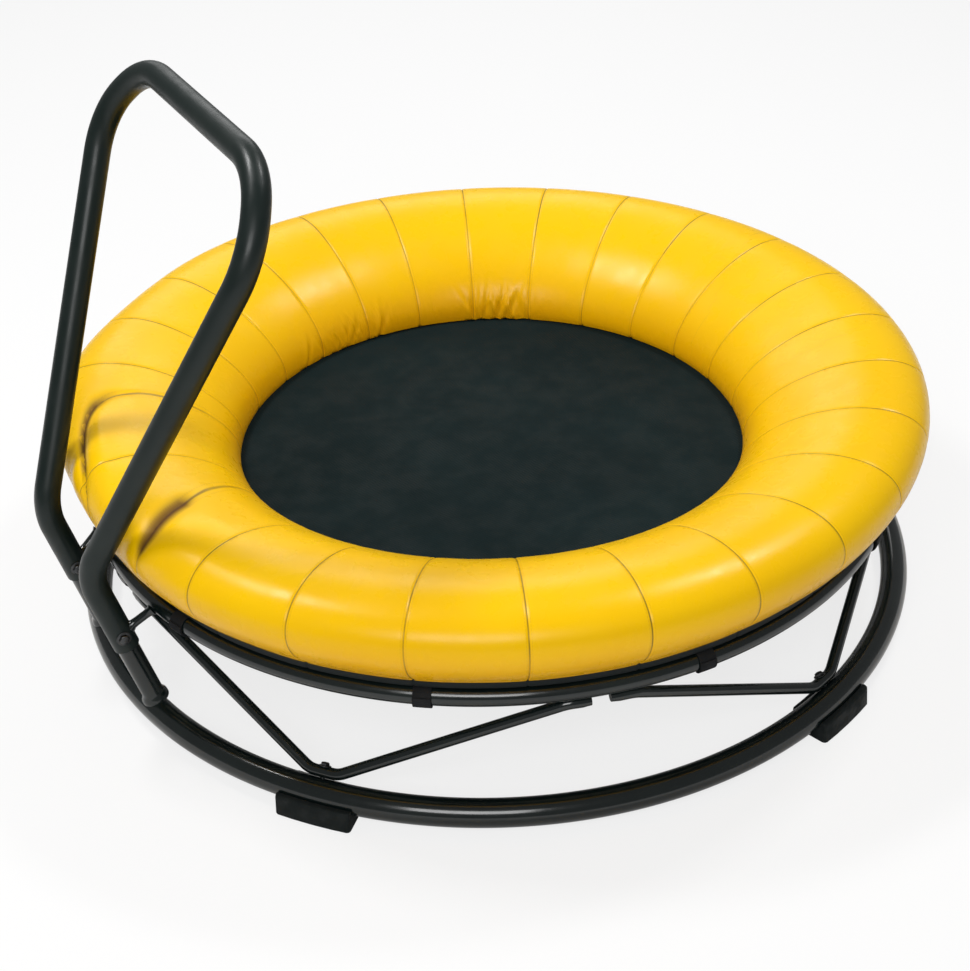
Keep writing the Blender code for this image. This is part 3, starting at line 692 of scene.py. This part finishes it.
def make_mat():
    """A mat with a faintly uneven top and a turned hem, and the webbing band under its edge."""
    outer, hem = MAT_RADIUS, MAT_RADIUS - BAND_WIDTH
    inner = (0.03, 0.07, 0.11, 0.15, 0.19, 0.23, 0.265, 0.29, 0.31, 0.33, 0.35, hem - 0.0020)
    top = [(radius, 0.0) for radius in inner] + [(hem - 0.0008, -0.0001)]
    top += [(radius, 0.0003) for radius in (hem + 0.0005, outer - 0.0100, outer - 0.0015)]
    top += [(outer - 0.0002, 0.0001), (outer, -0.0005)]
    under = [(outer, 0.0005)]
    under += [(radius, 0.0) for radius in (outer - 0.0002, outer - 0.0015, 0.33, 0.2, 0.1)]
    turn = full_turn(240)
    grid = []
    for radius, lift in top:
        swell = 0.0004 * np.sin(5 * turn + 9 * radius) * math.sin(math.pi * radius / MAT_RADIUS)
        z = MAT_Z + MAT_THICKNESS / 2 - GAP + lift + swell * (radius < 0.34)
        grid.append(polar(turn, radius, z))
    grid += [polar(turn, radius, MAT_Z - MAT_THICKNESS / 2 + lift) for radius, lift in under]
    mat = grid_object("mat_fabric", np.array(grid), MAT, caps=True, sharp_deg=60)
    placed(mat, "mat", "mat_body")
    outline = [
        (outer - 0.0004, BAND_TOP), (outer, BAND_TOP - 0.0006), (outer, BAND_BOTTOM + 0.0006),
        (outer - 0.0004, BAND_BOTTOM), (outer - 0.0040, BAND_BOTTOM - 0.0002),
        (outer - 0.0100, BAND_BOTTOM), (hem + 0.0040, BAND_BOTTOM - 0.0002),
        (hem + 0.0005, BAND_BOTTOM), (hem, BAND_BOTTOM + 0.0006), (hem, BAND_TOP - 0.0006),
        (hem + 0.0005, BAND_TOP),
    ]
    band = grid_object("mat_edge_webbing", lofted(full_turn(240), np.array(outline)), BAND, True)
    placed(band, "mat_edge_band", "mat_body")


def spring_path():
    """A wound spring's wire along +X from its inner hook to its outer one, about its own axis."""
    wire, turns, start, end = 0.0009, 22, 0.4025, 0.4525
    coil = SPRING_COIL - wire
    hook, hook_middle, hook_end = 0.0032, 0.3818, 0.3845
    points = []
    for angle in np.radians(np.linspace(180, -40, 9)):
        x = hook_middle + hook * math.cos(angle)
        if x < hook_end:
            points.append((x, 0.0, -hook * math.sin(angle)))
    points += [(0.3880, 0.0, 0.0020), (0.3950, 0.0, 0.0010), (0.3995, 0.0, 0.0028)]
    steps = turns * 12
    for step in range(steps + 1):
        angle = math.pi / 2 + 2 * math.pi * turns * step / steps
        radius = coil * min(1.0, 0.55 + step / 10, 0.55 + (steps - step) / 10)
        x = start + (end - start) * step / steps
        points.append((x, radius * math.cos(angle), radius * math.sin(angle)))
    points += [(0.4555, 0.0, 0.0026), (0.4600, 0.0, 0.0006), (0.4660, 0.0, 0.0), (0.4705, 0.0, -0.0004)]
    points += [(0.4730, 0.0, -0.0018)]
    return np.array(points), wire


def make_springs():
    """The springs, each of which stretches between the frame ring and the mat's band."""
    path, wire = spring_path()
    grid = tube_grid(path, wire, 8)
    for number in range(SPRING_COUNT):
        degrees = FIRST_SPRING_DEG + number * 360 / SPRING_COUNT
        turn = np.array(Matrix.Rotation(math.radians(degrees), 3, "Z"))
        turned = grid @ turn.T + np.array((MIDDLE, 0, SPRING_Z))
        name = f"spring_{number + 1:02d}"
        spring = grid_object(name + "_wire", turned, ZINC, caps=True)
        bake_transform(spring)
        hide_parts(name)


# The pad


def bell(off, width):
    """1 where off is 0, falling off smoothly on both sides."""
    return np.exp(-((off / width) ** 2))


def turned_from(angles, centre):
    """The turn from a centre to each angle, the short way round."""
    return np.remainder(angles - centre + math.pi, 2 * math.pi) - math.pi


def near(angles, degrees, width):
    """1 at an angle round the ring, falling off on both sides of it."""
    return bell(np.degrees(turned_from(angles, math.radians(degrees))), width)


def smooth_max(value, floor, width):
    """The larger of the two, with a soft turn between them."""
    return floor + width * np.logaddexp(0.0, (value - floor) / width)


def rest_height(radius):
    """The level that the pad rests on at a radius, from the mat's edge out to the frame ring."""
    share = np.clip((radius - LIP_RADIUS) / (FRAME_RADIUS - FRAME_TUBE - LIP_RADIUS), 0, 1)
    return LIP_Z + (REST_Z - LIP_Z) * share


def section(offset, count, crowd=0.0):
    """The pad's section from its inner hem over the crown to its outer hem.

    It gives (radius, z) points, their lengths along it and their degrees round it. The rows crowd
    together on the outer side by this much.
    """
    degrees = np.linspace(196, HEM_DEG, 720)
    a = np.radians(degrees)
    across = (PAD_HALF_WIDTH - offset) * np.cos(a)
    up = (PAD_HALF_HEIGHT - offset) * np.sin(a)
    radius = PAD_RADIUS + across * math.cos(PAD_TILT) - up * math.sin(PAD_TILT)
    height = PAD_Z + across * math.sin(PAD_TILT) + up * math.cos(PAD_TILT)
    height = smooth_max(height, rest_height(radius) + offset, 0.0022) - 0.0010
    height = np.maximum(height, rest_height(radius) + offset)
    inner = radius[0] + 0.010
    edge, low = radius[-1], REST_Z + offset
    drop = height[-1] - low
    end = [(edge - 0.0012, low + 0.75 * drop), (edge - 0.0016, low + 0.40 * drop)]
    end += [(edge - 0.0017, low + 0.0016), (edge - 0.0022, low + 0.0005), (edge - 0.0034, low)]
    end += [(HEM_RADIUS, rest_height(HEM_RADIUS) + offset)]
    start = [(inner, rest_height(inner) + offset)]
    points = np.vstack([start, np.stack([radius, height], -1), end])
    degrees = np.concatenate([[200], degrees, HEM_DEG - 3.0 * np.arange(1, len(end) + 1)])
    lengths = np.concatenate([[0], np.cumsum(np.linalg.norm(np.diff(points, axis=0), axis=1))])
    weight = 1 + crowd * bell(degrees - 36, 26)
    weighed = np.concatenate([[0], np.cumsum(np.diff(lengths) * (weight[1:] + weight[:-1]) / 2)])
    spots = np.interp(np.linspace(0, weighed[-1], count), weighed, lengths)
    even = np.stack([np.interp(spots, lengths, points[:, i]) for i in range(2)], -1)
    return even, spots, np.interp(spots, lengths, degrees)


def core_points(angles):
    """The middle of the pad's section at each angle."""
    return polar(angles, PAD_RADIUS, PAD_Z)


def outward_normals(grid):
    """Unit normals of a ring-shaped grid, pointing away from the pad's core."""
    normals = np.cross(np.gradient(grid, axis=1), np.roll(grid, -1, 0) - np.roll(grid, 1, 0))
    normals /= np.linalg.norm(normals, axis=2, keepdims=True) + TINY
    core = core_points(np.arctan2(grid[..., 1], grid[..., 0] - MIDDLE))
    return normals * np.sign(((grid - core) * normals).sum(2).mean())


def panel_share(angles):
    """Where each angle lies between two seams, 0 to 1."""
    turns = (np.degrees(angles) - FIRST_SEAM_DEG) / (360 / PANEL_COUNT)
    return turns - np.floor(turns)


def smoothed(field, across, along):
    """A field on the closed grid, blurred by these many columns and rows."""
    for axis, size, edges in ((0, across, "wrap"), (1, along, "edge")):
        reach = 3 * size
        weights = np.exp(-0.5 * (np.arange(-reach, reach + 1) / size) ** 2)
        margins = [(reach, reach) if side == axis else (0, 0) for side in range(2)]
        wider = np.pad(field, margins, edges)
        field = np.apply_along_axis(np.convolve, axis, wider, weights / weights.sum(), "valid")
    return field


def inflated(angles, profile):
    """How far the cover swells between its seams, from a cloth simulation under pressure."""
    share = panel_share(angles)
    grid = lofted(angles, profile)
    normals = outward_normals(grid)
    at_seam = np.minimum(share, 1 - share) < 1e-4
    start = grid - normals * np.where(at_seam, 0.0022, 0.0004)[:, None, None]
    columns, rows = grid.shape[:2]
    piece = grid_object("pad_cloth", start, VINYL, close_rows=True, close_columns=False)
    pins = piece.vertex_groups.new(name="pins")
    held = [0, 1, 2, rows - 3, rows - 2, rows - 1]
    fixed = [c * rows + r for c in range(columns) for r in (range(rows) if at_seam[c] else held)]
    pins.add(fixed, 1.0, "REPLACE")
    cloth = piece.modifiers.new("swell", "CLOTH")
    settings = {
        "quality": 5, "mass": 0.25, "tension_stiffness": 40, "compression_stiffness": 40,
        "shear_stiffness": 20, "bending_stiffness": 6, "use_pressure": True,
        "uniform_pressure_force": 4.0, "vertex_group_mass": "pins",
    }
    for name, value in settings.items():
        setattr(cloth.settings, name, value)
    cloth.settings.effector_weights.gravity = 0
    cloth.collision_settings.use_collision = False
    scene = bpy.context.scene
    for step in range(1, CLOTH_FRAMES + 1):
        scene.frame_set(step)
    evaluated = piece.evaluated_get(bpy.context.evaluated_depsgraph_get())
    moved = np.zeros(len(evaluated.data.vertices) * 3, np.float32)
    evaluated.data.vertices.foreach_get("co", moved)
    moved = moved.reshape(columns, rows, 3).astype(float)
    scene.frame_set(1)
    bpy.data.objects.remove(piece)
    swell = np.clip(((moved - grid) * normals).sum(2), -0.003, 0.006)
    return smoothed(swell, 1, 2)


def press_of_legs(grid, angles, clear):
    """Points moved towards the section's core until they clear the handle's legs."""
    path = np.array(HANDLE_PATH, float)
    best = np.full(grid.shape[:2], np.inf)
    for a, b in zip(path, path[1:]):
        run = b - a
        share = np.clip(((grid - a) @ run) / run.dot(run), 0, 1)
        best = np.minimum(best, np.linalg.norm(grid - a - share[..., None] * run, axis=2))
    inward = core_points(angles)[:, None] - grid
    inward /= np.linalg.norm(inward, axis=2, keepdims=True) + TINY
    wanted = smooth_max(best, HANDLE_TUBE + clear, LEG_PRESS)
    touched = best < HANDLE_TUBE + clear + 6 * LEG_PRESS
    return grid + inward * (wanted - best)[..., None] * touched[..., None]


# Two seams beside the handle's legs are pulled askew: (angle, section degrees) marks along each,
# and the section degrees between which it is a deep fold
PULLED_SEAMS = (
    (
        ((184.0, 200), (184.2, 150), (185.4, 116), (188.5, 90), (191.4, 66), (192.8, 46),
         (193.8, 30), (194.2, 11), (194.0, -6), (193.6, -90)),
        (88, 66, 8, -20),
    ),
    (
        ((155.4, 200), (155.4, 150), (155.8, 116), (156.4, 82), (158.0, 58), (161.0, 42),
         (167.0, 29), (173.4, 17), (178.6, 2), (180.6, -12), (181.6, -90)),
        (76, 44, 18, -10),
    ),
)


def pulled_seam(angles, profile, along, degrees, marks):
    """Each grid point's signed distance from a seam that runs through the marks."""
    marks = sorted((spot, math.radians(angle)) for angle, spot in marks)
    way = np.interp(degrees, [m[0] for m in marks], [m[1] for m in marks])
    kernel = np.exp(-0.5 * (np.arange(-6, 7) / 2.5) ** 2)
    way = np.convolve(np.pad(way, 6, "edge"), kernel / kernel.sum(), "valid")
    slope = np.gradient(way * profile[:, 0], along)
    return turned_from(angles[:, None], way[None]) * profile[None, :, 0] / np.sqrt(1 + slope**2)[None]


def drawn_in(grid, angles):
    """The pad's outer side pushed inwards between and beside the handle's legs."""
    push = 0.0130 * near(angles, 178, 18) + 0.0070 * near(angles, 128, 12)
    radius = np.hypot(grid[..., 0] - MIDDLE, grid[..., 1])
    share = np.clip((radius - 0.400) / 0.110, 0, 1)
    share = share * share * (3 - 2 * share)
    shrink = (radius - push[:, None] * share) / radius
    return np.stack([MIDDLE + (grid[..., 0] - MIDDLE) * shrink, grid[..., 1] * shrink, grid[..., 2]], -1)


def pad_angles():
    """Columns round the pad, closer together at the seams, by the legs and at the gathers."""
    coarse = np.array([0, 0.007, 0.015, 0.030, 0.060, 0.11, 0.18, 0.26, 0.34, 0.42])
    coarse = np.concatenate([coarse, [0.5], 1 - coarse[:0:-1]])
    fine = np.concatenate([[0, 0.007, 0.015], np.linspace(0.030, 0.970, 40), [0.985, 0.993]])
    panel = 360 / PANEL_COUNT
    angles = []
    for number in range(PANEL_COUNT):
        start = FIRST_SEAM_DEG + number * panel
        busy = 148 < start < 191 or 37 < start < 66 or 79 < start < 108
        angles.append(np.radians(start + panel * (fine if busy else coarse)))
    return np.concatenate(angles)


def panel_swell(angles, along):
    """The panels' swell at each column and row, from the simulation or its stand-in."""
    first = math.radians(FIRST_SEAM_DEG)
    columns = PANEL_COUNT * CLOTH_COLUMNS
    coarse_angles = first + 2 * math.pi * np.arange(columns) / columns
    profile, coarse_along, _ = section(0.0, CLOTH_ROWS)
    coarse = inflated(coarse_angles, profile)
    wrapped = np.vstack([coarse, coarse[:1]])
    place = (angles - first) / (2 * math.pi) * columns
    low = np.floor(place + 1e-6).astype(int) % columns
    part = np.clip(place - np.floor(place + 1e-6), 0, 1)[:, None]
    by_column = wrapped[low] * (1 - part) + wrapped[low + 1] * part
    return SWELL_SHARE * np.array([np.interp(along, coarse_along, line) for line in by_column]) - 0.0003


def gathered(swell, angles, profile, along, lip):
    """The swell with gathers at the inner lip, most of them at the back."""
    rng = np.random.RandomState(11)
    for number in range(GATHER_COUNT):
        middle, spread = (58, 4.5) if number % 5 < 3 else (97, 7.0)
        centre = math.radians(rng.normal(middle, spread))
        depth = GATHER_DEPTH * rng.uniform(0.4, 1.4)
        reach = GATHER_REACH * rng.uniform(0.5, 1.6)
        width = rng.uniform(0.0026, 0.0050)
        lean = rng.uniform(-0.55, 0.55)
        off = turned_from(angles[:, None], centre) * profile[None, :, 0] - lean * (along[None] - lip)
        fade = bell(np.clip((along[None] - lip - 0.008) / reach, -1, 9), 1)
        swell = swell - depth * fade * bell(off, width)
        swell = swell + 0.6 * depth * fade * bell(off - 1.6 * width, width)
    return swell


def make_cover():
    """The sewn cover: its swell, grooves, folds and gathers, and the lining that closes it."""
    angles = pad_angles()
    profile, along, degrees = section(0.0, COVER_ROWS, COVER_CROWD)
    base = drawn_in(lofted(angles, profile), angles)
    normals = outward_normals(base)
    swell = panel_swell(angles, along)

    # The even seams beside the legs give way to the pulled ones
    share = panel_share(angles + 1e-9)
    gap = np.minimum(share, 1 - share)[:, None] * (2 * math.pi / PANEL_COUNT) * profile[None, :, 0]
    replaced = sum(near(angles, seam, 0.35) for seam in REPLACED_SEAMS) > 0.02
    gap = np.where(replaced[:, None], 0.05, gap)
    swell = swell - SEAM_DEPTH * bell(gap, SEAM_WIDTH)
    pulled, fold_shade = [], np.zeros_like(gap)
    for marks, (top, full_top, full_low, low_end) in PULLED_SEAMS:
        off = pulled_seam(angles, profile, along, degrees, marks)
        deep = np.interp(degrees, [low_end, full_low, full_top, top], [0, 1, 1, 0])[None]
        swell = swell - (PULLED_DEPTH + FOLD_DEPTH * deep) * bell(off, PULLED_WIDTH + FOLD_WIDTH * deep)
        swell = swell - FOLD_SLOPE * deep * bell(off, FOLD_REACH) * (off < 0)
        swell = swell + BULGE * deep * bell(off - BULGE_OFF, BULGE_WIDTH)
        # The painted shade along the deep part of each fold
        fold_shade = np.maximum(fold_shade, deep**1.5 * bell(off, np.where(off < 0, 0.0048, 0.0034)))
        pulled.append(np.clip(off, -0.03, 0.03))

    lip = along[np.argmin(profile[:, 0])]
    swell = gathered(swell, angles, profile, along, lip)
    gather = 0.8 * near(angles, 58, 6) + 0.55 * near(angles, 97, 9) + 0.10
    gather = gather[:, None] * bell(along[None] - lip - 0.010, 0.020)

    keep = np.clip(np.minimum(along, along[-1] - along) / 0.030, 0, 1)
    grid = base + normals * (np.clip(swell, -0.0085, 0.0030) * keep[None])[..., None]
    grid = press_of_legs(grid, angles, COVER_CLEAR)
    radius = np.hypot(grid[..., 0] - MIDDLE, grid[..., 1])
    grid[..., 2] = np.maximum(grid[..., 2], rest_height(radius))

    # The lining lies under the deepest folds
    under, _, _ = section(LINING_IN, COVER_ROWS, COVER_CROWD)
    deepest = np.minimum(swell * keep[None] + 0.0018, 0.0)[..., None]
    lining = drawn_in(lofted(angles, under), angles) + normals * deepest
    lining = press_of_legs(lining, angles, LINING_CLEAR)
    back = np.arange(COVER_ROWS)[::LINING_STEP][::-1]
    shell = np.concatenate([grid, lining[:, back]], 1)
    cover = grid_object("pad_cover_vinyl", shell, VINYL, True, sharp_deg=70)
    picked = np.concatenate([np.arange(COVER_ROWS), back])
    fields = {
        "seam_gap": gap, "along": along, "pulled_right": pulled[0], "pulled_left": pulled[1],
        "section_deg": degrees, "fold_shade": fold_shade, "gather": gather,
    }
    for name, values in fields.items():
        data = cover.data.attributes.new(name, "FLOAT", "POINT")
        values = np.broadcast_to(values, gap.shape)[:, picked]
        data.data.foreach_set("value", np.ascontiguousarray(values, np.float32).ravel())
    placed(cover, "pad_cover")


def make_foam():
    """The foam inside the cover, dented under its two folds."""
    profile, along, degrees = section(FOAM_IN, FOAM_ROWS)
    turn = math.radians(FIRST_SEAM_DEG) + 2 * math.pi * np.arange(FOAM_COLUMNS) / FOAM_COLUMNS
    block = drawn_in(lofted(turn, profile), turn)
    dent = np.zeros(block.shape[:2])
    for marks, (top, full_top, full_low, low_end) in PULLED_SEAMS:
        off = pulled_seam(turn, profile, along, degrees, marks)
        deep = np.interp(degrees, [low_end - 8, full_low, full_top, top + 8], [0, 1, 1, 0])[None]
        dent = dent - FOAM_DENT * deep * bell(off, FOLD_REACH)
    block = block + outward_normals(block) * dent[..., None]
    block = press_of_legs(block, turn, FOAM_CLEAR)
    pad = grid_object("foam_ring_block", block, FOAM, True)
    placed(pad, "foam_ring")


def make_straps():
    """Webbing loops round the frame ring, each lapped over itself on its outer side."""
    half, edge, thick = STRAP_WIDTH / 2, STRAP_WIDTH / 2 - 0.0002, 0.0012
    ribbon = [(0.0, -edge), (thick / 2, -half), (thick - 0.0001, -edge), (thick, 0)]
    ribbon += [(lift, -width) for lift, width in ribbon[2::-1]]
    up = np.array((0, 0, 1))
    for number in range(STRAP_COUNT):
        degrees = FIRST_STRAP_DEG + number * 360 / STRAP_COUNT
        place = np.array(around(degrees, FRAME_RADIUS, FRAME_Z))
        radial, tangent = (polar(math.radians(a), 1, 0, 0) for a in (degrees, degrees + 90))
        loops = []
        for inner, start, end, count in ((0.0114, 0, 360, 48), (0.0126, -75, 20, 16)):
            closed = end - start == 360
            grid = []
            for t in np.radians(np.linspace(start, end, count, endpoint=not closed)):
                way = radial * math.cos(t) + up * math.sin(t)
                grid.append([place + way * (inner + lift) + tangent * width for lift, width in ribbon])
            loops.append(grid_object("loop", np.array(grid), STRAP, closed, caps=not closed))
        name = f"pad_strap_{number + 1:02d}"
        placed(joined(name + "_loop", loops), name)


make_rings()
make_feet()
make_struts()
make_handle()
make_mat()
make_springs()
make_cover()
make_foam()
make_straps()


# Floor and light

FLOOR_HALF, FLOOR_DROP, FLOOR_GLOW, ROOM_GLOW = 6.0, 0.0004, 0.78, 0.24
CAMERA_PLACE, CAMERA_TARGET = (MIDDLE - 0.9541, -1.8035, 1.4710), (MIDDLE - 0.0088, 0.0047, 0.1118)
FOCAL_PX, PHOTO_PX, SENSOR, ROLL_DEG = 1958, 971, 36.0, -2.15


def make_floor():
    """A plain pale floor that shows near white, with the object's shadow on it."""
    mesh = bpy.data.meshes.new("floor")
    sides = ((-1, -1), (1, -1), (1, 1), (-1, 1))
    corners = [(x * FLOOR_HALF, y * FLOOR_HALF, -FLOOR_DROP) for x, y in sides]
    mesh.from_pydata(corners, [], [(0, 1, 2, 3)])
    floor = added("floor", mesh)
    paint = Nodes("pale_floor", (0.90, 0.90, 0.90), 0.9)
    paint.set("Specular IOR Level", 0.1)
    seen = paint.times(paint.add("LightPath").outputs["Is Camera Ray"], FLOOR_GLOW)
    glow = paint.add("Emission").outputs[0]
    lift = paint.add("MixShader", [(0, seen), (1, paint.shader.outputs[0]), (2, glow)])
    paint.link(lift.outputs[0], paint.tree.nodes["Material Output"].inputs["Surface"])
    mesh.materials.append(paint.material)


def make_room():
    """A soft pale light from all sides, and a white backdrop for the camera."""
    world = bpy.data.worlds.new("studio")
    bpy.context.scene.world = world
    world.use_nodes = True
    tree = world.node_tree
    choose = tree.nodes.new("ShaderNodeMixShader")
    path = tree.nodes.new("ShaderNodeLightPath")
    tree.links.new(path.outputs["Is Camera Ray"], choose.inputs["Fac"])
    sides = (tree.nodes["Background"], ROOM_GLOW), (tree.nodes.new("ShaderNodeBackground"), 1.0)
    for place, (glow, strength) in enumerate(sides, 1):
        glow.inputs["Color"].default_value = (1.0, 1.0, 1.0, 1)
        glow.inputs["Strength"].default_value = strength
        tree.links.new(glow.outputs[0], choose.inputs[place])
    tree.links.new(choose.outputs[0], tree.nodes["World Output"].inputs["Surface"])


def add_light(name, place, target, size, power):
    data = bpy.data.lights.new(name, "AREA")
    data.shape = "RECTANGLE"
    data.size, data.size_y = size
    data.energy = power
    light = added(name, data)
    light.location = place
    direction = Vector(target) - Vector(place)
    light.rotation_euler = direction.to_track_quat("-Z", "Y").to_euler()


def make_camera():
    """The photograph's camera: 35.3 degrees above the floor, rolled a little."""
    data = bpy.data.cameras.new("photo_camera")
    camera = added("photo_camera", data)
    bpy.context.scene.camera = camera
    data.sensor_width = SENSOR
    data.lens = FOCAL_PX * SENSOR / PHOTO_PX
    data.clip_start, data.clip_end = 0.05, 60.0
    place = Vector(CAMERA_PLACE)
    forward = (Vector(CAMERA_TARGET) - place).normalized()
    right = forward.cross(Vector((0, 0, 1))).normalized()
    up = right.cross(forward)
    turn = Matrix((right, up, -forward)).transposed().to_4x4()
    roll = Matrix.Rotation(math.radians(ROLL_DEG), 4, "Z")
    camera.matrix_world = Matrix.Translation(place) @ turn @ roll


make_floor()
make_room()
make_camera()
add_light("key", (-1.7, -2.3, 2.3), (0, 0, 0.2), (1.6, 1.2), 50)
add_light("top_left", (-0.85, 0.85, 2.6), (-0.2, -0.2, 0.2), (0.75, 0.40), 34)
add_light("top_right", (1.30, 0.15, 2.5), (0, -0.1, 0.2), (0.50, 0.32), 22)
add_light("back", (0.8, 2.4, 1.6), (0, 0, 0.2), (1.8, 0.9), 10)
bpy.context.scene.view_settings.view_transform = "Standard"
